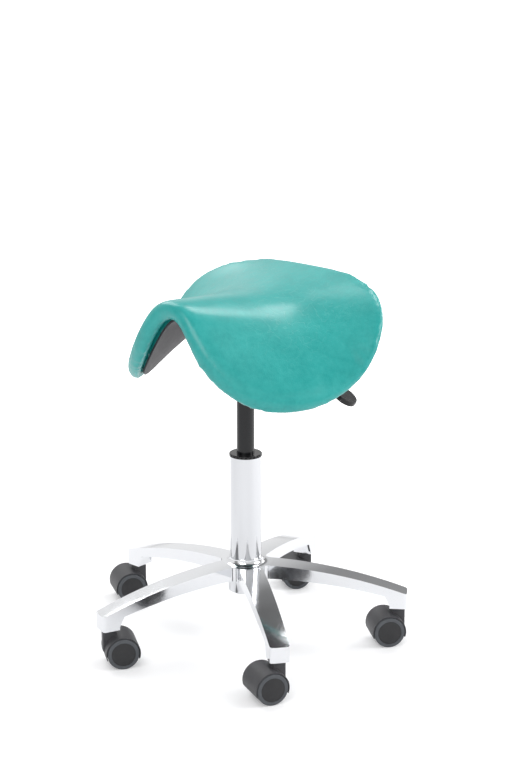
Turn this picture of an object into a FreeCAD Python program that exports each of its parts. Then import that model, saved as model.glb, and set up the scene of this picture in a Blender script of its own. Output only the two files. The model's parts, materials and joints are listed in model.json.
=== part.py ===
import FreeCAD, Part
import math
import os
from FreeCAD import Vector

os.makedirs("parts", exist_ok=True)

# A saddle stool: a padded saddle on a gas column, on a five-legged base with twin-wheel casters.
# Origin on the floor at the column's axis, +Z up, the front of the seat towards -Y.
# All sizes are in millimetres and degrees, at the height at which the stool was photographed.

# Star base
leg_count = 5
base_heading = 37.2         # of the first leg, anticlockwise from +X
caster_circle = 247.0       # radius from the column to a caster's stem
leg_end_reach = 14.0        # leg beyond the stem's axis
leg_top_middle = 114.5      # height of the leg's top face half-way out
leg_top_tip = 85.0
leg_side_hub = 22.5         # height of the side wall at the hub
leg_side_middle = 19.0
leg_side_tip = 14.0
leg_width_root = 40.0       # of a leg's straight sides, run on to the column's axis
leg_width_tip = 31.0
leg_wall = 3.6
leg_corner = 5.0
crotch_round = 9.0          # radius between two legs
socket_bottom = 60.0        # lowest face of the caster socket
socket_length = 27.0
socket_rib = 8.0
hub_top = 136.0
hub_bottom = 80.0
hub_top_radius = 27.0
hub_flare = 9.0             # hollow round between the hub and the legs
hub_cup_radius = 28.5

# Column
tube_radius = 25.0
tube_wall = 2.0
tube_top = 305.0
tube_bottom = 77.5
tube_taper = 0.8            # how much the radius shrinks inside the hub
tube_floor = 3.0
collar_radius = 26.2
collar_height = 4.5
collar_notches = 24
collar_notch_radius = 1.1
sleeve_length = 92.0
rod_radius = 5.0
rod_foot_radius = 4.0
rod_foot_reach = 6.0        # below the tube's floor
piston_height = 14.0
piston_rise = 208.0         # piston above the tube's floor
bearing_radius = 12.0
bearing_plate = 2.0
roller_radius = 1.6
roller_length = 5.0
roller_count = 12
bumper_radius = 11.0
bumper_height = 9.0
cylinder_radius = 14.0
cylinder_wall = 1.6
cylinder_length = 279.0     # parallel part, below the taper
taper_length = 30.0
taper_drop = 0.8            # how much the radius shrinks over the taper
seal_height = 16.0
release_pin_radius = 3.5
release_pin_reach = 8.0

# Seat plate and height lever
plate_thickness = 3.0
tray_half_width = 30.0
tray_half_length = 44.0
tray_depth = 30.0
flange_reach = 82.0
cone_socket_wall = 4.0
bolt_spacing_x = 40.0
bolt_spacing_y = 126.0
bolt_radius = 3.0
bolt_head_radius = 5.0
bolt_head_height = 4.0
lever_radius = 4.0
lever_pivot_x = 22.5
lever_pin_radius = 2.5
lever_inner_reach = 6.0
lever_bend_x = 40.0
lever_bend_radius = 30.0
paddle_tip = (178.7, 56.6, 412.2)
paddle_length = 66.0
paddle_width = 42.0
paddle_thickness = 8.0

# Saddle: a mid sheet bent over a ridge, padded to a constant thickness
seat_front = 153.7          # from the column's axis to the sheet's front end
seat_rear = 144.6
seat_waist = -20.4          # forward of the axis, where the sheet is widest
seat_half_girth = 220.4     # from the ridge to the flap's end, along the sheet
seat_front_power = 2.74     # roundness of the outline ahead of the waist
seat_rear_power = 2.25
ridge_height = 551.3        # of the sheet at its lowest point
ridge_front_rise = 15.5
ridge_front_power = 1.05
ridge_rear_rise = 25.5
ridge_rear_power = 1.3
flank_slope = 38.5          # slope that the flaps tend to, abeam of the column
flank_slope_gain = 16.8     # more towards the front
flank_slope_bow = 3.0
flank_run = 75.7            # length over which the sheet turns down
flank_run_decay = 1.87
flank_run_bow = 0.98
slope_pitch = 160.0         # length over which the slope and run values above apply
flank_rake = 2.96           # forward lean of the sections
rim_radius = 16.1
cover_thickness = 1.5
core_depth = 4.5            # core's upper face below the mid sheet
core_thickness = 8.0
core_inset = 26.0           # core's edge inside the cushion's outline
pan_thickness = 3.5
pan_lip = 5.0               # pan's edge beyond the core's
pan_room = 1.6              # between the core and the pan

# Casters
wheel_radius = 25.0
wheel_inner_y = 7.0
wheel_outer_y = 28.0
wheel_disc_radius = 19.0
wheel_dome = 1.3
tread_round = 2.2
caster_trail = 20.0
hood_radius = 27.3
hood_half_width = 27.2
hood_gap = 0.8              # between the tread and the hood
hood_cut_angle = 20.0       # how far below the axle the hood reaches
web_half_width = 6.5
neck_front = 9.5
neck_back = 12.0
neck_half_width = 9.0
neck_top = 57.2
axle_radius = 3.0
axle_half_length = 24.0
stem_radius = 5.0
stem_length = 23.0
stem_journal_radius = 4.0
stem_journal_bottom = 36.0
stem_flange_radius = 8.0
grip_ring_wall = 0.6
grip_ring_height = 12.0
caster_headings = (233.6, 235.6, 240.6, 56.6, 246.6)    # trail of each caster, as photographed

# Clearances
running = 0.05              # radial, for shafts that turn or slide
gap = 0.3                   # between pieces that move or lie close
hole_clearance = 0.4

# Levels worked out from the sizes above
z_axis = Vector(0, 0, 1)
y_axis = Vector(0, 1, 0)
leg_step = 360.0 / leg_count
leg_end = caster_circle + leg_end_reach
leg_top_hub = hub_top - hub_flare
hub_outer = hub_top_radius + hub_flare
leg_tops = (leg_top_hub, leg_top_middle, leg_top_tip)
leg_lows = (leg_top_hub - leg_side_hub, leg_top_middle - leg_side_middle, leg_top_tip - leg_side_tip)
core_floor = core_depth + core_thickness
pan_roof = core_floor + pan_room
pan_floor = pan_roof + pan_thickness
flange_top = 526.5
flange_floor = flange_top - plate_thickness
tray_floor = flange_top - tray_depth
cone_bottom = tray_floor - taper_length
cylinder_bottom = cone_bottom - cylinder_length
cylinder_top = tray_floor + plate_thickness
pin_top = cylinder_top + release_pin_reach
lever_level = pin_top + gap + lever_radius
floor_top = tube_bottom + tube_floor


def save(node, shape):
    shape.exportStep("parts/" + node + ".step")


def cylinder(radius, z_low, z_high, x=0.0, y=0.0):
    return Part.makeCylinder(radius, z_high - z_low, Vector(x, y, z_low))


def ring(inner, outer, z_low, z_high):
    return cylinder(outer, z_low, z_high).cut(cylinder(inner, z_low - 1, z_high + 1))


def box(x_low, x_high, y_low, y_high, z_low, z_high):
    size = (x_high - x_low, y_high - y_low, z_high - z_low)
    return Part.makeBox(*size, Vector(x_low, y_low, z_low))


def turned(points, axis=z_axis):
    """Solid of revolution of a closed outline of (radius, height) pairs."""
    if axis == z_axis:
        corners = [Vector(radius, 0, height) for radius, height in points]
    else:
        corners = [Vector(radius, height, 0) for radius, height in points]
    return Part.Face(Part.makePolygon(corners + corners[:1])).revolve(Vector(), axis, 360)


def spun(shape, angle, z_turn=Vector()):
    copy = shape.copy()
    copy.rotate(z_turn, z_axis, angle)
    return copy


def at_legs(shape):
    return [spun(shape, base_heading + leg_step * leg) for leg in range(leg_count)]


def arc(start, middle, end):
    return Part.Arc(Vector(*start), Vector(*middle), Vector(*end)).toShape()


def line(start, end):
    return Part.makeLine(Vector(*start), Vector(*end))


# Star base

def cos(angle):
    return math.cos(math.radians(angle))


def sin(angle):
    return math.sin(math.radians(angle))


def star_plan(inset, low, high):
    """Block with the five legs' outline seen from above, moved inwards by inset."""
    half = 0.5 * leg_step
    taper = 0.5 * (leg_width_root - leg_width_tip) / leg_end
    lean = math.hypot(1, taper)
    root = 0.5 * leg_width_root - inset * lean
    end = leg_end - inset
    tip = root - taper * end
    turn = crotch_round + inset
    reach = (turn * lean + root) / (sin(half) + taper * cos(half))
    touch_x = reach * cos(half) - turn * taper / lean
    touch_y = reach * sin(half) - turn / lean
    nearest = reach - turn
    straight = end - leg_corner
    bow = leg_corner * (1 - cos(45))
    edges = []
    for leg in range(leg_count):
        heading = base_heading + leg_step * leg

        def at(x, y, turned_by=0.0):
            angle = heading + turned_by
            return (x * cos(angle) - y * sin(angle), x * sin(angle) + y * cos(angle), low)

        edges += [
            line(at(touch_x, -touch_y), at(straight, -tip)),
            arc(at(straight, -tip), at(end - bow, bow - tip), at(end, leg_corner - tip)),
            line(at(end, leg_corner - tip), at(end, tip - leg_corner)),
            arc(at(end, tip - leg_corner), at(end - bow, tip - bow), at(straight, tip)),
            line(at(straight, tip), at(touch_x, touch_y)),
            arc(at(touch_x, touch_y), at(nearest, 0, half), at(touch_x, -touch_y, leg_step)),
        ]
    return Part.Face(Part.Wire(edges)).extrude(Vector(0, 0, high - low))


def leg_arc(heights, drop, x_low, x_high):
    """Three points of a leg's long curve between two distances from the column, lowered by drop."""
    x_middle = 0.5 * (hub_outer + leg_end)
    given = [Vector(x, 0, z) for x, z in zip((hub_outer, x_middle, leg_end), heights)]
    circle = Part.Arc(*given).toShape().Curve
    points = []
    for x in (x_low, 0.5 * (x_low + x_high), x_high):
        rise = math.sqrt(circle.Radius ** 2 - (x - circle.Center.x) ** 2)
        points.append((x, 0, circle.Center.z + rise - drop))
    return points


def chain(points):
    return [line(first, last) for first, last in zip(points, points[1:])]


def revolved(edges):
    return Part.Face(Part.Wire(edges)).revolve(Vector(), z_axis, 360)


def star_body():
    """The star's side view turned about the column, cut to the outline seen from above."""
    socket_x = leg_end - socket_length
    flare = hub_flare * (1 - cos(45))
    top = leg_arc(leg_tops, 0, hub_outer, leg_end)
    low = leg_arc(leg_lows, 0, hub_outer, socket_x - socket_rib)
    end = [top[2], (leg_end, 0, socket_bottom), (socket_x, 0, socket_bottom),
           (socket_x, 0, socket_bottom + 0.6 * socket_rib), low[2]]
    cup = [low[0], (hub_cup_radius, 0, low[0][2] - 4), (hub_cup_radius, 0, hub_bottom),
           (tube_radius - 5, 0, hub_bottom), (tube_radius - 5, 0, hub_top), (hub_top_radius, 0, hub_top)]
    neck = arc(cup[-1], (hub_top_radius + flare, 0, leg_top_hub + flare), top[0])
    body = revolved([neck, arc(*top)] + chain(end) + [arc(*low[::-1])] + chain(cup))
    return body.common(star_plan(0, hub_bottom - 50, hub_top + 10))


def leg_hollows():
    """The channels under the legs."""
    start, end = hub_outer + leg_wall, leg_end - socket_length
    roof = leg_arc(leg_tops, leg_wall, start, end)
    below = [roof[2], (end, 0, 40), (start, 0, 40), roof[0]]
    return revolved([arc(*roof)] + chain(below)).common(star_plan(leg_wall, 30, hub_top))


def bore_radius(z):
    """Radius of the tapered seat in the hub, which the tube fills."""
    share = (hub_top - z) / (hub_top - tube_bottom)
    return tube_radius - tube_taper * max(0.0, share)


def star_base():
    bore = turned([(0, hub_bottom - 30), (bore_radius(hub_bottom), hub_bottom - 30),
                   (bore_radius(hub_bottom), hub_bottom), (tube_radius, hub_top),
                   (tube_radius, hub_top + 20), (0, hub_top + 20)])
    sockets = at_legs(cylinder(stem_radius + grip_ring_wall, socket_bottom - 1,
                               socket_bottom + stem_length + 0.5, caster_circle))
    return star_body().cut(leg_hollows()).cut(bore).cut(Part.makeCompound(sockets))


# Column

def column_tube():
    low = bore_radius(tube_bottom)
    inner = tube_radius - tube_wall
    foot = rod_foot_radius + hole_clearance
    return turned([(foot, tube_bottom), (low, tube_bottom), (tube_radius, hub_top),
                   (tube_radius, tube_top), (inner, tube_top), (inner, hub_top),
                   (low - tube_wall, floor_top), (foot, floor_top)])


def guide_sleeve():
    bore = cylinder_radius + running
    body = turned([(bore, tube_top - sleeve_length), (tube_radius - tube_wall, tube_top - sleeve_length),
                   (tube_radius - tube_wall, tube_top), (collar_radius, tube_top),
                   (collar_radius, tube_top + collar_height - 0.8),
                   (collar_radius - 0.8, tube_top + collar_height), (bore, tube_top + collar_height)])
    notch = cylinder(collar_notch_radius, tube_top + 1, tube_top + collar_height + 1, collar_radius)
    notches = [spun(notch, 360.0 / collar_notches * turn) for turn in range(collar_notches)]
    return body.cut(Part.makeCompound(notches))


washer_top = floor_top + bearing_plate
roller_top = washer_top + 2 * roller_radius
upper_plate_bottom = roller_top + 0.1
upper_plate_top = upper_plate_bottom + bearing_plate


def thrust_bearing():
    """Lower race and the rollers that the rod's washer turns on."""
    bore = rod_foot_radius + hole_clearance
    start = Vector(0.5 * (bore + bearing_radius - roller_length), 0, washer_top + roller_radius)
    roller = Part.makeCylinder(roller_radius, roller_length, start, Vector(1, 0, 0))
    rollers = [spun(roller, 360.0 / roller_count * turn) for turn in range(roller_count)]
    return Part.makeCompound([ring(bore, bearing_radius, floor_top, washer_top)] + rollers)


def piston_rod():
    top = floor_top + piston_rise + piston_height
    bottom = tube_bottom - rod_foot_reach
    groove = 0.8
    clip = clip_levels()
    outline = [(0, bottom), (rod_foot_radius, bottom), (rod_foot_radius, clip[0]),
               (rod_foot_radius - groove, clip[0]), (rod_foot_radius - groove, clip[1]),
               (rod_foot_radius, clip[1]), (rod_foot_radius, upper_plate_top),
               (rod_radius, upper_plate_top), (rod_radius, top), (0, top)]
    return turned(outline)


def clip_levels():
    top = tube_bottom - gap
    return (top - 1.2, top)


def retaining_clip():
    """Spring clip under the tube's floor, with the bent tail that shows below the hub."""
    low, high = clip_levels()
    clip = ring(rod_foot_radius - 0.8, rod_foot_radius + 4.5, low, high)
    clip = clip.cut(box(0, 12, -1.5, 1.5, low - 1, high + 1))
    tail = cylinder(0.9, low - 4.5, low, -(rod_foot_radius + 3))
    return clip.fuse(tail)


def bearing_washer():
    return ring(rod_foot_radius, bearing_radius, upper_plate_bottom, upper_plate_top)


def rubber_bumper():
    return ring(rod_radius, bumper_radius, upper_plate_top, upper_plate_top + bumper_height)


def gas_piston():
    bottom = floor_top + piston_rise
    land = cylinder_radius - cylinder_wall - running
    groove = 1.2
    middle = bottom + 0.5 * piston_height
    return turned([(rod_radius, bottom), (land, bottom), (land, middle - 2), (land - groove, middle - 2),
                   (land - groove, middle + 2), (land, middle + 2), (land, bottom + piston_height),
                   (rod_radius, bottom + piston_height)])


def cone_radius(z):
    return cylinder_radius - taper_drop * (z - cone_bottom) / (cylinder_top - cone_bottom)


def gas_cylinder():
    """Inverted cylinder: its taper is up in the seat plate, and its open end slides down the tube."""
    inner = cylinder_radius - cylinder_wall
    valve = release_pin_radius + running
    valve_floor = cone_bottom - 6
    return turned([(inner, cylinder_bottom), (cylinder_radius, cylinder_bottom),
                   (cylinder_radius, cone_bottom), (cone_radius(cylinder_top), cylinder_top),
                   (valve, cylinder_top), (valve, valve_floor), (inner, valve_floor)])


def rod_seal():
    return ring(rod_radius + running, cylinder_radius - cylinder_wall, cylinder_bottom,
                cylinder_bottom + seal_height)


def release_pin():
    return cylinder(release_pin_radius, cone_bottom + 2, pin_top)


# Seat plate and lever

def bolt_places():
    return [(sx * 0.5 * bolt_spacing_x, sy * 0.5 * bolt_spacing_y) for sx in (-1, 1) for sy in (-1, 1)]


def seat_plate():
    """Pressed tray with a flange ahead and behind, two lugs for the lever and a slot in its left wall."""
    wide, long = tray_half_width, tray_half_length
    tray = box(-wide, wide, -long, long, tray_floor, flange_top)
    inner = box(-wide + plate_thickness, wide - plate_thickness, -long + plate_thickness,
                long - plate_thickness, tray_floor + plate_thickness, flange_top + 1)
    flange = box(-wide, wide, -flange_reach, flange_reach, flange_floor, flange_top)
    plate = tray.fuse(flange).cut(inner)
    plate = plate.cut(cylinder(cone_radius(tray_floor), tray_floor - 1, cylinder_top + 1))
    rim = [edge for edge in plate.Edges if upright(edge) and abs(edge.Vertexes[0].Y) > flange_reach - 1]
    plate = plate.makeFillet(10, rim)
    lugs = [box(lever_pivot_x - 5, wide - plate_thickness, sign * 5.5 - 1.5, sign * 5.5 + 1.5,
                tray_floor + plate_thickness, lever_level + 5) for sign in (-1, 1)]
    plate = plate.multiFuse(lugs)
    slot = box(wide - plate_thickness - 1, wide + 1, -lever_radius - 1, lever_radius + 1,
               lever_level - lever_radius - 1.5, lever_level + lever_radius + 5)
    pin_hole = Part.makeCylinder(lever_pin_radius, 30, Vector(lever_pivot_x, -15, lever_level), y_axis)
    holes = [cylinder(bolt_radius + hole_clearance, flange_floor - 1, flange_top + 1, x, y)
             for x, y in bolt_places()]
    return plate.cut(slot).cut(pin_hole).cut(Part.makeCompound(holes))


def upright(edge):
    first, last = edge.Vertexes[0].Point, edge.Vertexes[-1].Point
    return abs(first.z - last.z) > 0.9 * plate_thickness and abs(first.x - last.x) < 0.01


def cone_socket():
    """Tapered steel socket welded under the tray, which holds the gas cylinder's end."""
    outer = cylinder_radius + cone_socket_wall
    return turned([(cone_radius(cone_bottom), cone_bottom), (outer, cone_bottom), (outer, tray_floor),
                   (cone_radius(tray_floor), tray_floor)])


def lever_pin():
    pin = Part.makeCylinder(lever_pin_radius, 16, Vector(lever_pivot_x, -8, lever_level), y_axis)
    head = Part.makeCylinder(4, 1.5, Vector(lever_pivot_x, -8.5, lever_level), y_axis)
    clip = Part.makeCylinder(4, 1.2, Vector(lever_pivot_x, 7.2, lever_level), y_axis)
    return pin.multiFuse([head, clip])


def lever_path():
    """Centre line of the lever: level through the plate, then down and back to the paddle."""
    start = Vector(-lever_inner_reach, 0, lever_level)
    corner = Vector(lever_bend_x, 0, lever_level)
    tip = Vector(*paddle_tip)
    along = (tip - corner).normalize()
    end = tip - along * (0.5 * paddle_length)
    turn = math.acos(along.x)
    trim = lever_bend_radius * math.tan(0.5 * turn)
    before = corner - Vector(trim, 0, 0)
    after = corner + along * trim
    inward = (along - Vector(1, 0, 0)).normalize()
    middle = corner + inward * (lever_bend_radius / math.cos(0.5 * turn) - lever_bend_radius)
    return start, before, middle, after, end, along


def height_lever():
    start, before, middle, after, end, along = lever_path()
    path = Part.Wire([Part.makeLine(start, before), Part.Arc(before, middle, after).toShape(),
                      Part.makeLine(after, end)])
    profile = Part.Wire(Part.makeCircle(lever_radius, start, Vector(1, 0, 0)))
    rod = path.makePipeShell([profile], True, False)
    hole = Part.makeCylinder(lever_pin_radius + running, 30, Vector(lever_pivot_x, -15, lever_level),
                             y_axis)
    return rod.cut(hole)


def lever_paddle():
    """Flat handle with a round end, pushed over the lever's end."""
    start, before, middle, after, end, along = lever_path()
    tip = Vector(*paddle_tip)
    across = z_axis.cross(along).normalize()
    upward = along.cross(across)
    half_tip = 0.5 * paddle_width
    half_root = 0.3 * paddle_width

    def at(distance, side):
        return tip - along * distance + across * side

    edges = [Part.Arc(at(half_tip, -half_tip), at(0, 0), at(half_tip, half_tip)).toShape(),
             Part.makeLine(at(half_tip, half_tip), at(paddle_length, half_root)),
             Part.makeLine(at(paddle_length, half_root), at(paddle_length, -half_root)),
             Part.makeLine(at(paddle_length, -half_root), at(half_tip, -half_tip))]
    face = Part.Face(Part.Wire(edges))
    face.translate(upward * (-0.5 * paddle_thickness))
    flat = face.extrude(upward * paddle_thickness)
    sleeve = Part.makeCylinder(lever_radius + 2.2, 0.55 * paddle_length,
                               tip - along * (paddle_length + 6), along)
    body = flat.fuse(sleeve)
    bore_start = tip - along * (paddle_length + 8)
    bore = Part.makeCylinder(lever_radius, (end - bore_start).Length, bore_start, along)
    return body.cut(bore)


# Saddle

def ridge(forward):
    """Height of the mid sheet over the stool's centre line."""
    if forward > seat_waist:
        share = (forward - seat_waist) / (seat_front - seat_waist)
        return ridge_height + ridge_front_rise * share ** ridge_front_power
    share = (seat_waist - forward) / (seat_rear + seat_waist)
    return ridge_height + ridge_rear_rise * share ** ridge_rear_power


def slope(forward, along):
    """Slope of the mid sheet, in radians, at a distance along it from the ridge."""
    pitch = forward / slope_pitch
    limit = flank_slope + flank_slope_gain * pitch + flank_slope_bow * pitch ** 2
    run = flank_run * math.exp(flank_run_bow * pitch ** 2 - flank_run_decay * pitch)
    return math.radians(limit) * math.tanh(along / run)


def flank(forward, length, offset):
    """Points of the right half of a section, offset from the mid sheet, as three arcs' ends and middles."""
    knots = (0.0, 0.34, 0.68, 1.0)
    x, z, heading = 0.0, ridge(forward), 0.0
    found = []
    for low, high in zip(knots, knots[1:]):
        turn = slope(forward, high * length) - slope(forward, low * length)
        span = (high - low) * length
        radius = span / turn
        centre = (x - radius * math.sin(heading), z - radius * math.cos(heading))
        reach = radius + offset
        for angle in (heading, heading + 0.5 * turn, heading + turn):
            found.append((centre[0] + reach * math.sin(angle), centre[1] + reach * math.cos(angle)))
        heading += turn
        x = centre[0] + radius * math.sin(heading)
        z = centre[1] + radius * math.cos(heading)
    return found, (x, z), heading


def section(forward, length, upper, lower, round_tip):
    """Closed section of the sheet at one station, between two offsets, with round or square ends."""
    top, end, heading = flank(forward, length, upper)
    bottom, end, heading = flank(forward, length, lower)

    def place(point, sign):
        return (sign * point[0], -forward, point[1])

    def half(sign):
        rows = [[place(point, sign) for point in top[3 * k:3 * k + 3]] for k in range(3)]
        edges = [arc(*row) for row in rows]
        if round_tip:
            radius = upper
            tip = (end[0] + radius * math.cos(heading), end[1] - radius * math.sin(heading))
            for turn_from in (0.0, 90.0):
                points = []
                for step in (0.0, 45.0, 90.0):
                    angle = heading + math.radians(turn_from + step)
                    points.append((end[0] + radius * math.sin(angle), end[1] + radius * math.cos(angle)))
                if turn_from == 0.0:
                    points = [top[8], points[1], tip]
                else:
                    points = [tip, points[1], bottom[8]]
                edges.append(arc(*[place(point, sign) for point in points]))
        else:
            edges.append(line(place(top[8], sign), place(bottom[8], sign)))
        for k in (2, 1, 0):
            row = [place(point, sign) for point in bottom[3 * k:3 * k + 3]]
            edges.append(arc(*row[::-1]))
        return edges

    right = half(1)
    left = [mirrored_edge(edge) for edge in right[::-1]]
    wire = Part.Wire(right + left)
    wire.rotate(Vector(0, -forward, ridge(forward)), Vector(1, 0, 0), -flank_rake)
    return wire


def mirrored_edge(edge):
    first, last = edge.FirstParameter, edge.LastParameter
    points = [edge.valueAt(last), edge.valueAt(0.5 * (first + last)), edge.valueAt(first)]
    flipped = [Vector(-point.x, point.y, point.z) for point in points]
    if edge.Curve.TypeId == "Part::GeomLine":
        return Part.makeLine(flipped[0], flipped[2])
    return Part.Arc(*flipped).toShape()


stations = (-0.994, -0.96, -0.89, -0.78, -0.62, -0.4, -0.15, 0.12, 0.37, 0.58, 0.76, 0.89, 0.96, 0.99)


def half_girth(forward):
    """Half width of the mid sheet at a station, measured along the sheet, or None beyond its ends."""
    if forward > seat_waist:
        share, power = (forward - seat_waist) / (seat_front - seat_waist), seat_front_power
    else:
        share, power = (seat_waist - forward) / (seat_rear + seat_waist), seat_rear_power
    if share > 1:
        return None
    return seat_half_girth * (1 - share ** power) ** (1 / power)


def offset_girth(forward, grow):
    """Half width at a station of the sheet's outline moved outwards by grow, or inwards below 0."""
    found = []
    for step in range(-40, 41):
        shift = abs(grow) * step / 40
        width = half_girth(forward + shift)
        reach = math.sqrt(grow ** 2 - shift ** 2)
        if grow > 0 and width is not None:
            found.append(width + reach)
        if grow <= 0:
            found.append((width or 0.0) - reach)
    return max(found) if grow > 0 else min(found)


def outline(station, inset):
    """Distance forward, and half girth there, of an outline inside the cushion's by inset."""
    grow = rim_radius - inset
    end = seat_front + grow if station > 0 else seat_rear + grow
    start = seat_waist if station > 0 else -seat_waist
    forward = seat_waist + station * (end - start)
    return forward, offset_girth(forward, grow)


def cushion(inset):
    """Padded saddle with a round rim all the way about, inset from its outer face."""
    wires = []
    for station in stations:
        forward, girth = outline(station, inset)
        radius = rim_radius - inset
        beyond = max(forward - seat_front, -seat_rear - forward, 0.0) / radius
        half = radius * math.sqrt(max(1 - beyond ** 2, 0.08))
        wires.append(section(forward, girth - half, half, -half, True))
    return Part.makeLoft(wires, True, False)


def sheet(inset, upper, lower):
    """Shell of even thickness under the cushion, with square edges."""
    wires = []
    for station in stations:
        forward, girth = outline(station, inset)
        wires.append(section(forward, girth, -upper, -lower, False))
    return Part.makeLoft(wires, True, False)


def bolt_holes():
    return Part.makeCompound([cylinder(bolt_radius + hole_clearance, flange_floor - 1, ridge_height + 60,
                                       x, y) for x, y in bolt_places()])


def tee_nut_level(x, y):
    """Height of the core's upper face at a bolt, from the sheet's arc over the ridge."""
    points, end, heading = flank(-y, 60.0, -core_depth)
    share = abs(x) / points[8][0]
    return points[0][1] + (points[8][1] - points[0][1]) * share ** 2


def pocket():
    """Room in the cushion's underside for the core and the pan."""
    return sheet(core_inset - pan_lip - gap, core_depth - gap, pan_floor + 12)


def tee_nut(x, y, extra=0.0):
    top = tee_nut_level(x, y) + 2.2
    flange = cylinder(9.5 + extra, top - 1.6 - extra, top + extra, x, y)
    barrel = cylinder(4.6 + extra, top - 9, top, x, y)
    return flange.fuse(barrel)


def tee_nuts():
    return Part.makeCompound([tee_nut(x, y).cut(cylinder(bolt_radius, 500, 620, x, y))
                              for x, y in bolt_places()])


def seat_bolts():
    bolts = []
    for x, y in bolt_places():
        top = tee_nut_level(x, y) + 1.5
        shank = cylinder(bolt_radius, flange_floor, top, x, y)
        head = cylinder(bolt_head_radius, flange_floor - bolt_head_height, flange_floor, x, y)
        key = cylinder(2.2, flange_floor - bolt_head_height - 1, flange_floor - 1.5, x, y)
        bolts.append(shank.fuse(head).cut(key))
    return Part.makeCompound(bolts)


def seat_core():
    core = sheet(core_inset, core_depth, core_floor)
    nuts = Part.makeCompound([tee_nut(x, y, 0.1) for x, y in bolt_places()])
    return core.cut(bolt_holes()).cut(nuts)


def seat_pan():
    """Moulded cover under the core, with four pads that stand on the seat plate's flanges."""
    pan = sheet(core_inset - pan_lip, pan_roof, pan_floor)
    pads = []
    for x, y in bolt_places():
        top = tee_nut_level(x, y) - core_thickness - 2.5
        pads.append(cylinder(10, flange_top, top, x, y))
    return pan.multiFuse(pads).cut(bolt_holes())


def seat_foam():
    foam = cushion(cover_thickness + gap).cut(pocket())
    nuts = Part.makeCompound([tee_nut(x, y, gap) for x, y in bolt_places()])
    return foam.cut(nuts)


def seat_cover():
    skin = cushion(0).cut(cushion(cover_thickness))
    return skin.cut(pocket())


# Casters, built with the stem on the Z axis and the trail along +X

def hood():
    centre = Vector(caster_trail, 0, wheel_radius)
    drum = Part.makeCylinder(hood_radius, 2 * hood_half_width, centre - y_axis * hood_half_width, y_axis)
    cavity = wheel_radius + hood_gap
    depth = hood_half_width + 2 - web_half_width
    right = Part.makeCylinder(cavity, depth, centre + y_axis * web_half_width, y_axis)
    left = Part.makeCylinder(cavity, depth, centre - y_axis * (web_half_width + depth), y_axis)
    angle = math.radians(hood_cut_angle)
    reach = 60.0
    fall = reach * math.tan(angle)
    corners = [Vector(0, 0, 0), Vector(reach, 0, -fall), Vector(reach, 0, -reach),
               Vector(-reach, 0, -reach), Vector(-reach, 0, -fall)]
    wedge = Part.Face(Part.makePolygon(corners + corners[:1])).extrude(y_axis * 100)
    wedge.translate(centre - y_axis * 50)
    boss = Part.makeCylinder(7, 2 * web_half_width, centre - y_axis * web_half_width, y_axis)
    neck = box(-neck_front, neck_back, -neck_half_width, neck_half_width, wheel_radius, neck_top)
    upright_edges = [edge for edge in neck.Edges if upright(edge) and edge.Vertexes[0].X < 0]
    neck = neck.makeFillet(3, upright_edges)
    cavities = right.fuse(left)
    body = drum.fuse(neck).cut(cavities).cut(wedge).fuse(boss)
    journal = cylinder(stem_journal_radius + running, stem_journal_bottom - gap, neck_top + 1)
    axle_hole = Part.makeCylinder(axle_radius, 60, centre - y_axis * 30, y_axis)
    return body.cut(journal).cut(axle_hole).removeSplitter()


def axle():
    start = Vector(caster_trail, -axle_half_length, wheel_radius)
    return Part.makeCylinder(axle_radius, 2 * axle_half_length, start, y_axis)


def wheel_core():
    """Hub, rim and closed outer disc, turned about Y, outer face towards +Y."""
    bore = axle_radius + running
    rim = wheel_disc_radius
    face = wheel_outer_y - 1.0
    outline_points = [
        (bore, wheel_inner_y), (8, wheel_inner_y), (8, face - 4), (rim - 2.5, face - 4),
        (rim - 2.5, wheel_inner_y), (rim, wheel_inner_y), (rim, face + 0.6), (rim - 0.8, face + 1.2),
        (0.55 * rim, face + 1.2 + 0.7 * wheel_dome), (0, face + 1.2 + wheel_dome),
        (0, axle_half_length + gap), (bore, axle_half_length + gap)]
    return turned(outline_points, y_axis)


def wheel_tread():
    soft = turned([(wheel_disc_radius, wheel_inner_y), (wheel_radius, wheel_inner_y),
                   (wheel_radius, wheel_outer_y), (wheel_disc_radius, wheel_outer_y)], y_axis)
    rims = [edge for edge in soft.Edges if abs(edge.BoundBox.XMax - wheel_radius) < 0.01
            and edge.BoundBox.YLength < 0.01]
    return soft.makeFillet(tread_round, rims)


def stem():
    top = socket_bottom + stem_length
    flange = neck_top + gap
    return turned([(0, stem_journal_bottom), (stem_journal_radius, stem_journal_bottom),
                   (stem_journal_radius, flange), (stem_flange_radius, flange),
                   (stem_flange_radius, socket_bottom), (stem_radius, socket_bottom),
                   (stem_radius, top - 1), (stem_radius - 1, top), (0, top)])


def grip_ring():
    low = socket_bottom + 0.4 * stem_length
    sleeve = ring(stem_radius, stem_radius + grip_ring_wall, low, low + grip_ring_height)
    return sleeve.cut(box(0, 10, -0.8, 0.8, low - 1, low + grip_ring_height + 1))


def on_circle(shape):
    copy = shape.copy()
    copy.translate(Vector(caster_circle, 0, 0))
    return Part.makeCompound(at_legs(copy))


def placed(shape, index):
    """A caster's piece turned to its trail and put under its leg."""
    copy = spun(shape, caster_headings[index])
    angle = math.radians(base_heading + leg_step * index)
    copy.translate(Vector(caster_circle * math.cos(angle), caster_circle * math.sin(angle), 0))
    return copy


def wheel_placed(shape, side):
    """The wheel's piece on the axle, on the +Y side or turned round to the other."""
    copy = shape if side > 0 else spun(shape, 180)
    copy = copy.copy()
    copy.translate(Vector(caster_trail, 0, wheel_radius))
    return copy


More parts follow.
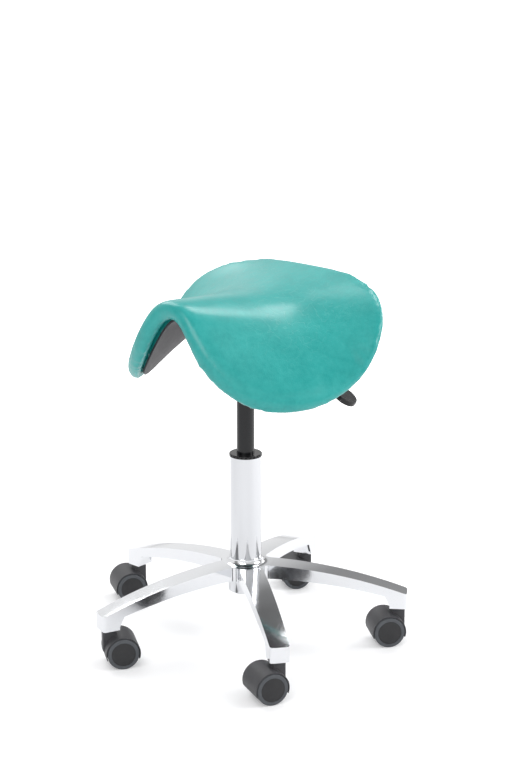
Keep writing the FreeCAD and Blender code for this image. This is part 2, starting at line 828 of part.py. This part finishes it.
save("star_base", star_base())
save("column_tube", column_tube())
save("guide_sleeve", guide_sleeve())
save("thrust_bearing", thrust_bearing())
save("piston_rod", piston_rod())
save("retaining_clip", retaining_clip())
save("bearing_washer", bearing_washer())
save("rubber_bumper", rubber_bumper())
save("gas_piston", gas_piston())
save("gas_cylinder", gas_cylinder())
save("rod_seal", rod_seal())
save("release_pin", release_pin())
save("seat_plate", seat_plate())
save("cone_socket", cone_socket())
save("lever_pin", lever_pin())
save("height_lever", height_lever())
save("lever_paddle", lever_paddle())
save("seat_core", seat_core())
save("seat_pan", seat_pan())
save("seat_foam", seat_foam())
save("seat_cover", seat_cover())
save("tee_nuts", tee_nuts())
save("seat_bolts", seat_bolts())
save("caster_stems", on_circle(stem()))
save("caster_grip_rings", on_circle(grip_ring()))
for index in range(leg_count):
    name = "caster_" + str(index + 1)
    save(name + "_hood", placed(hood(), index))
    save(name + "_axle", placed(axle(), index))
    for side, word in ((1, "left"), (-1, "right")):
        save(name + "_" + word + "_wheel", placed(wheel_placed(wheel_core(), side), index))
        save(name + "_" + word + "_tread", placed(wheel_placed(wheel_tread(), side), index))
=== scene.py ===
import json
import math
import bpy
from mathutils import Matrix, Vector, noise
from mathutils.bvhtree import BVHTree


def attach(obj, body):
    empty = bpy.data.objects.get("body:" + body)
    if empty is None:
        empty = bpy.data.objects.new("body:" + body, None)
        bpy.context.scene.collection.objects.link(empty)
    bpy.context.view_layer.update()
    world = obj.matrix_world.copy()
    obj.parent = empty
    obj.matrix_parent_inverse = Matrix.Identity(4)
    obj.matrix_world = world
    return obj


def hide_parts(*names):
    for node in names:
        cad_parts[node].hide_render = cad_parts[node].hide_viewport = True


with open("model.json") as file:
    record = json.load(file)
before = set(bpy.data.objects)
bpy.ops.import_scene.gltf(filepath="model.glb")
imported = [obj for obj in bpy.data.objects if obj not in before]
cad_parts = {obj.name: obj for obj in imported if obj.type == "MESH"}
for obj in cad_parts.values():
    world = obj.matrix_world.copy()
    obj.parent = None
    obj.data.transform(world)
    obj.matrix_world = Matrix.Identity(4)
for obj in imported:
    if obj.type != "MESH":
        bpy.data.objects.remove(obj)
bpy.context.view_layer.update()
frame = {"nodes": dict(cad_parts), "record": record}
nodes = frame["nodes"]
bpy.context.scene.view_settings.view_transform = "Standard"
print("frame loaded,", len(nodes), "nodes")


# Materials

class Wire:  # an output socket that can be used in sums
    def __init__(self, look, socket):
        self.look, self.socket = look, socket

    def sum(self, kind, first, second):
        return self.look.node("ShaderNodeMath", {"operation": kind}, {0: first, 1: second})

    def __add__(self, other):
        return self.sum("ADD", self, other)

    def __mul__(self, other):
        return self.sum("MULTIPLY", self, other)

    def __truediv__(self, other):
        return self.sum("DIVIDE", self, other)

    __radd__, __rmul__ = __add__, __mul__


class Graph:  # a node tree, of a material or of the world
    def __init__(self, tree):
        self.tree = tree

    def node(self, kind, settings=None, values=None, out=0):
        made = self.tree.nodes.new(kind)
        for key, value in (settings or {}).items():
            if key == "stops":
                while len(made.color_ramp.elements) < len(value):
                    made.color_ramp.elements.new(0.5)
                for stop, (place, colour) in zip(made.color_ramp.elements, value):
                    stop.position, stop.color = place, colour
            else:
                setattr(made, key, value)
        for key, value in (values or {}).items():
            if isinstance(value, Wire):
                self.tree.links.new(value.socket, made.inputs[key])
            else:
                made.inputs[key].default_value = value
        return Wire(self, made.outputs[out])

    def place(self):
        return self.node("ShaderNodeTexCoord", out="Object")

    def noise(self, scale, detail=4.0, rough=0.5, warp=0.0, where=None):
        return self.node("ShaderNodeTexNoise", None, {
            "Vector": where or self.place(), "Scale": scale, "Detail": detail,
            "Roughness": rough, "Distortion": warp})

    def steps(self, value, *stops):
        grey = [(at, (level, level, level, 1)) for at, level in stops]
        return self.node("ShaderNodeValToRGB", {"stops": grey}, {0: value})

    def mix(self, share, first, second):
        return self.node("ShaderNodeMix", {"data_type": "RGBA"}, {0: share, 6: first, 7: second}, 2)

    def bump(self, height, depth, strength=1.0, after=None):
        values = {"Height": height, "Distance": depth, "Strength": strength}
        if after:
            values["Normal"] = after
        return self.node("ShaderNodeBump", None, values)


class Look(Graph):
    def __init__(self, name, **fixed):
        self.data = bpy.data.materials.new(name)
        self.data.use_nodes = True
        super().__init__(self.data.node_tree)
        self.shader = self.tree.nodes["Principled BSDF"]
        for socket, value in fixed.items():
            self.shader.inputs[socket.replace("_", " ")].default_value = value

    def feed(self, **links):
        for socket, value in links.items():
            self.tree.links.new(value.socket, self.shader.inputs[socket.replace("_", " ")])
        return self


def rgb(red, green, blue):
    return tuple((c / 255 / 12.92 if c < 10 else ((c / 255 + 0.055) / 1.055) ** 2.4)
                 for c in (red, green, blue)) + (1,)


# the lightest vinyl tint is a painted highlight, laid along the crease lines in vinylLook
vinyl = {"deep": rgb(6, 150, 146), "pale": rgb(42, 172, 167), "creaseSheen": rgb(110, 200, 194),
         "rough": (0.36, 0.5), "grain": 0.0002, "crease": 0.0002}


def vinylLook():
    look = Look("teal_vinyl", Specular_IOR_Level=0.5, Coat_Weight=0.35, Coat_Roughness=0.2)
    clouds = look.noise(16.0, 6.0, 0.62)
    flecks = look.noise(110.0, 5.0, 0.7)
    share = look.steps(clouds * 0.55 + flecks * 0.45, (0.38, 0.0), (0.64, 1.0))
    tint = look.mix(share * 0.75, vinyl["deep"], vinyl["pale"])
    cells = look.node("ShaderNodeTexVoronoi", None, {"Vector": look.place(), "Scale": 620.0})
    fold = look.noise(46.0, 2.0, 0.5, 0.5)
    lines = look.steps(fold, (0.478, 0.0), (0.498, 1.0), (0.502, 1.0), (0.522, 0.0))
    attribute = look.node("ShaderNodeAttribute", {"attribute_name": "creased"}, out="Fac")
    creases = lines * attribute
    # crease lines on top-facing surfaces painted lighter: a painted highlight along the folds
    tint = look.mix(creases * 0.16, tint, vinyl["creaseSheen"])
    low, high = vinyl["rough"]
    rough = look.steps(flecks, (0.3, low), (0.7, high))
    grain = look.bump(cells, vinyl["grain"], 0.5)
    dents = look.bump(look.noise(60.0, 2.0), 0.0006, 0.35, grain)
    return look.feed(Base_Color=tint, Roughness=rough,
                     Normal=look.bump(creases * -1.0, vinyl["crease"], 0.8, dents))


def metalLook(name, colour, rough, smears, grain):
    look = Look(name, Base_Color=colour, Metallic=1.0)
    marks = look.noise(40.0, 5.0, 0.6)
    fine = look.noise(420.0, 3.0, 0.6)
    level = look.steps(marks * 0.6 + fine * 0.4, (0.35, rough), (0.7, rough + smears))
    return look.feed(Roughness=level, Normal=look.bump(look.noise(90.0, 2.0), grain, 0.25))


def plasticLook(name, colour, lighter, rough, grain, cell=900.0):
    look = Look(name, Specular_IOR_Level=0.45)
    marks = look.noise(70.0, 6.0, 0.65)
    tint = look.mix(look.steps(marks, (0.35, 0.0), (0.75, 1.0)), colour, lighter)
    pits = look.noise(cell, 2.0, 0.6)
    level = look.steps(marks, (0.3, rough), (0.75, rough + 0.12))
    return look.feed(Base_Color=tint, Roughness=level, Normal=look.bump(pits, grain, 0.5))


looks = {
    "teal_vinyl": vinylLook(),
    "polished_aluminium": metalLook("polished_aluminium", (0.8, 0.81, 0.83, 1), 0.07, 0.09, 0.00012),
    "chrome": metalLook("chrome", (0.68, 0.69, 0.71, 1), 0.04, 0.04, 0.00002),
    "zinc_steel": metalLook("zinc_steel", (0.62, 0.63, 0.64, 1), 0.25, 0.15, 0.00005),
    "bearing_steel": metalLook("bearing_steel", (0.68, 0.68, 0.68, 1), 0.15, 0.1, 0.00002),
    "black_plastic": plasticLook("black_plastic", rgb(16, 16, 18), rgb(24, 24, 26), 0.12, 0.00003),
    "black_paint": plasticLook("black_paint", rgb(7, 9, 13), rgb(11, 13, 17), 0.14, 0.00001, 300.0),
    "black_rubber": plasticLook("black_rubber", rgb(22, 22, 22), rgb(34, 34, 34), 0.6, 0.0001),
    "pan_plastic": plasticLook("pan_plastic", rgb(44, 42, 45), rgb(62, 60, 63), 0.5, 0.00025, 520.0),
    "caster_plastic": plasticLook("caster_plastic", rgb(58, 58, 61), rgb(70, 70, 73), 0.42, 0.0001),
    "wheel_plastic": plasticLook("wheel_plastic", rgb(34, 34, 36), rgb(44, 44, 46), 0.38, 0.0001),
    "grey_tread": plasticLook("grey_tread", rgb(72, 75, 79), rgb(86, 89, 93), 0.55, 0.0001),
    "plywood": plasticLook("plywood", rgb(176, 140, 98), rgb(200, 168, 124), 0.6, 0.0002),
    "foam": plasticLook("foam", rgb(214, 200, 150), rgb(226, 214, 170), 0.8, 0.0004),
}
print("materials made,", len(looks))


# Pieces

def paint(piece, look):
    piece.data.materials.clear()
    piece.data.materials.append(looks[look].data)


def onlySelect(piece):
    bpy.ops.object.select_all(action="DESELECT")
    piece.select_set(True)
    bpy.context.view_layer.objects.active = piece


merge = {"hard": 0.00001, "soft": 0.00002, "flat": 0.6}  # distances, and the angle taken as flat


def mergedCopy(node, name, distance):
    piece = nodes[node].copy()
    piece.data = nodes[node].data.copy()
    piece.name = piece.data.name = name
    bpy.context.scene.collection.objects.link(piece)
    matrix = piece.matrix_world.copy()
    piece.parent = None
    piece.matrix_world = matrix
    onlySelect(piece)
    bpy.ops.object.transform_apply(location=True, rotation=True, scale=True)
    bpy.ops.object.mode_set(mode="EDIT")
    bpy.ops.mesh.select_all(action="SELECT")
    bpy.ops.mesh.remove_doubles(threshold=distance)
    bpy.ops.object.mode_set(mode="OBJECT")
    return piece


def smoothCopy(node, name, look, body, edge=0.0, angle=32, segments=2):
    piece = mergedCopy(node, name, merge["hard"])
    if edge:
        bpy.ops.object.mode_set(mode="EDIT")
        bpy.ops.mesh.dissolve_limited(angle_limit=math.radians(merge["flat"]))
        bpy.ops.object.mode_set(mode="OBJECT")
        bevel = piece.modifiers.new("edge", "BEVEL")
        bevel.width, bevel.segments, bevel.limit_method = edge, segments, "ANGLE"
        bevel.angle_limit = math.radians(angle)
        bevel.use_clamp_overlap = False
        bpy.ops.object.modifier_apply(modifier="edge")
    bpy.ops.object.shade_smooth_by_angle(angle=math.radians(angle))
    even = piece.modifiers.new("even", "WEIGHTED_NORMAL")
    even.keep_sharp = True
    bpy.ops.object.modifier_apply(modifier="even")
    paint(piece, look)
    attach(piece, body)
    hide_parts(node)
    return piece


slotOf = {part["node"]: part["material_slot"] for part in frame["record"]["subparts"]}
bodyOf = {node: body for body, group in frame["record"]["behaviour"]["bodies"].items() for node in group}
for node, piece in nodes.items():
    paint(piece, slotOf[node])

saddle = {"voxel": 0.006, "pressure": 4.0, "frames": 10, "quality": 3, "cap": 0.0025, "lift": 0.0008,
          "heldNear": 0.008, "heldFar": 0.02, "hemNear": 0.004, "liftReach": 0.012,
          "gathers": 104, "gatherDepth": 0.0011, "gatherReach": 0.017,
          "creaseSide": 0.07, "creaseBack": 0.02, "creaseCore": 0.03, "creaseEdge": 0.12}


def nearness(point, low, high):  # 1 at low or nearer, 0 at high or beyond
    return min(1.0, max(0.0, (high - point) / (high - low)))


def makeSaddle():
    piece = mergedCopy("seat_foam", "saddle_cover", merge["soft"])
    remesh = piece.modifiers.new("voxels", "REMESH")
    remesh.mode, remesh.voxel_size = "VOXEL", saddle["voxel"]
    bpy.ops.object.modifier_apply(modifier="voxels")
    tree = BVHTree.FromObject(nodes["seat_pan"], bpy.context.evaluated_depsgraph_get())
    rest = [v.co.copy() for v in piece.data.vertices]
    near = [tree.find_nearest(co)[3] for co in rest]
    held = piece.vertex_groups.new(name="held")
    for index, gap in enumerate(near):
        held.add([index], nearness(gap, saddle["heldNear"], saddle["heldFar"]), "REPLACE")
    cloth = piece.modifiers.new("fill", "CLOTH")
    cloth.settings.use_pressure = True
    cloth.settings.uniform_pressure_force = saddle["pressure"]
    cloth.settings.quality = saddle["quality"]
    cloth.settings.effector_weights.gravity = 0
    cloth.settings.vertex_group_mass = "held"
    scene = bpy.context.scene
    for step in range(1, saddle["frames"] + 1):
        scene.frame_set(step)
    shaped = piece.evaluated_get(bpy.context.evaluated_depsgraph_get()).to_mesh()
    moved = [v.co.copy() for v in shaped.vertices]
    piece.modifiers.remove(cloth)
    scene.frame_set(1)
    for vertex, old, new in zip(piece.data.vertices, rest, moved):
        shift = new - old
        if shift.length > saddle["cap"]:
            shift = shift.normalized() * saddle["cap"]
        vertex.co = old + shift
    onlySelect(piece)
    smooth = piece.modifiers.new("soften", "SMOOTH")
    smooth.factor, smooth.iterations = 0.5, 4
    bpy.ops.object.modifier_apply(modifier="soften")
    finer = piece.modifiers.new("finer", "SUBSURF")
    finer.levels = finer.render_levels = 1
    bpy.ops.object.modifier_apply(modifier="finer")
    creased = piece.data.attributes.new("creased", "FLOAT", "POINT")
    normals = [vertex.normal.copy() for vertex in piece.data.vertices]
    for index, vertex in enumerate(piece.data.vertices):
        co, normal = vertex.co.copy(), normals[index]
        gap = tree.find_nearest(co)[3]
        around = math.atan2(co.x, -co.y)
        wave = math.sin(around * saddle["gathers"] + 3 * noise.noise(co * 25))
        reach = nearness(gap, saddle["hemNear"], saddle["gatherReach"])
        lift = saddle["lift"] * (1 - nearness(gap, saddle["hemNear"], saddle["liftReach"]))
        push = lift + saddle["gatherDepth"] * wave * reach * 0.5
        vertex.co = co + normal * push
        off = Vector((abs(co.x) - saddle["creaseSide"], (co.y - saddle["creaseBack"]) * 0.8, 0)).length
        seen = nearness(off, saddle["creaseCore"], saddle["creaseEdge"])
        creased.data[index].value = seen if normal.z > 0 else 0.0
    bpy.ops.object.shade_smooth()
    paint(piece, "teal_vinyl")
    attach(piece, "seat")
    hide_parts("seat_cover", "seat_foam")
    return piece


hem = {"grow": 0.0007}


def makeHem():  # the cover's edge, drawn over the core before the pan goes on
    piece = mergedCopy("seat_core", "cover_hem", merge["hard"])
    bpy.ops.object.mode_set(mode="EDIT")
    bpy.ops.transform.shrink_fatten(value=hem["grow"])
    bpy.ops.object.mode_set(mode="OBJECT")
    bpy.ops.object.shade_smooth_by_angle(angle=math.radians(32))
    paint(piece, "teal_vinyl")
    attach(piece, "seat")


makeSaddle()
makeHem()
print("saddle made")

dressed = {  # node: (edge width, smoothing angle)
    "star_base": (0.0, 14), "column_tube": (0.0004, 32), "guide_sleeve": (0.0004, 32),
    "gas_cylinder": (0.0, 32), "seat_plate": (0.0005, 32), "cone_socket": (0.0005, 32),
    "height_lever": (0.0, 32), "lever_paddle": (0.0014, 30), "seat_pan": (0.0, 35),
}
for node, (edge, angle) in dressed.items():
    smoothCopy(node, node + "_dressed", slotOf[node], bodyOf[node], edge, angle)
for index in range(1, 6):
    start = "caster_" + str(index)
    for part, edge in (("hood", 0.0006), ("left_wheel", 0.0004), ("right_wheel", 0.0004),
                       ("left_tread", 0.0), ("right_tread", 0.0)):
        node = start + "_" + part
        smoothCopy(node, node + "_dressed", slotOf[node], bodyOf[node], edge)
print("hard pieces dressed")


# Stage, lamps and camera

stage = {"floor": 30.0, "floorColour": (0.86, 0.86, 0.87, 1), "glow": 0.22, "ambient": 0.55}


def makeStage():
    bpy.ops.object.select_all(action="DESELECT")
    bpy.ops.mesh.primitive_plane_add(size=2 * stage["floor"], location=(0, 0, 0))
    floor = bpy.context.object
    floor.name = "floor"
    look = Look("floor", Base_Color=stage["floorColour"], Roughness=0.9, Specular_IOR_Level=0.1)
    path = look.node("ShaderNodeLightPath", out="Is Camera Ray")
    shiny = look.node("ShaderNodeLightPath", out="Is Glossy Ray")
    away = look.node("ShaderNodeVectorMath", {"operation": "LENGTH"}, {0: look.place()}, "Value")
    far = look.steps(away / 10.0, (0.06, stage["glow"]), (0.2, 1.0))
    look.shader.inputs["Emission Strength"].default_value = 1.0
    look.feed(Emission_Color=look.mix(path, look.mix(shiny, (0, 0, 0, 1), (0.1, 0.1, 0.1, 1)), far))
    floor.data.materials.append(look.data)

    world = bpy.data.worlds.new("studio")
    bpy.context.scene.world = world
    world.use_nodes = True
    tree = world.node_tree
    sky = Graph(tree)
    place = sky.node("ShaderNodeTexCoord", out="Generated")
    across = sky.node("ShaderNodeSeparateXYZ", None, {0: place}, 0)
    height = sky.node("ShaderNodeSeparateXYZ", None, {0: place}, 2)
    bands = sky.steps(across * 0.5 + 0.5, (0.0, 0.9), (0.16, 0.95), (0.24, 0.3), (0.36, 0.34), (0.46, 1.0),
                      (0.6, 1.0), (0.7, 0.45), (0.78, 0.4), (0.86, 0.9), (1.0, 0.7))
    shade = sky.steps(height, (0.0, 1.0), (0.5, 1.0), (0.72, 0.5), (1.0, 0.36)) * bands
    seen = sky.node("ShaderNodeLightPath", out="Is Camera Ray")
    shiny = sky.node("ShaderNodeLightPath", out="Is Glossy Ray")
    ambient = (stage["ambient"],) * 3 + (1,)
    colour = sky.mix(shiny, ambient, shade)
    colour = sky.mix(seen, colour, (1, 1, 1, 1))
    tree.links.new(colour.socket, tree.nodes["Background"].inputs["Color"])


lamps = {
    "top": {"at": (-1.6, 0.3, 2.2), "size": 1.6, "power": 24},
    "streak": {"at": (-0.25, 1.15, 2.1), "size": 0.6, "power": 8},
    "rim": {"at": (-0.1, 2.2, 0.9), "size": 0.5, "power": 7},
    "right": {"at": (1.7, 1.3, 1.5), "size": 1.3, "power": 26},
    "front": {"at": (0.9, -2.2, 1.9), "size": 1.8, "power": 30},
}


lampAim = (0, 0, 0.35)


def makeLamps():
    for name, lamp in lamps.items():
        data = bpy.data.lights.new(name, "AREA")
        data.size, data.energy = lamp["size"], lamp["power"]
        light = bpy.data.objects.new(name, data)
        light.location = lamp["at"]
        light.rotation_euler = (Vector(lampAim) - light.location).to_track_quat("-Z", "Y").to_euler()
        light.visible_camera = False
        bpy.context.scene.collection.objects.link(light)


camera = {"at": (1.9632, -2.0388, 1.19665), "heading": 43.6, "pitch": 15.29, "lens": 87.54}


def makeCamera():
    data = bpy.data.cameras.new("camera")
    data.lens, data.sensor_width, data.clip_end = camera["lens"], 36, 200
    eye = bpy.data.objects.new("camera", data)
    eye.location = camera["at"]
    eye.rotation_euler = (math.radians(90 - camera["pitch"]), 0, math.radians(camera["heading"]))
    bpy.context.scene.collection.objects.link(eye)
    bpy.context.scene.camera = eye


makeStage()
makeLamps()
makeCamera()
print("stage, lamps and camera set")
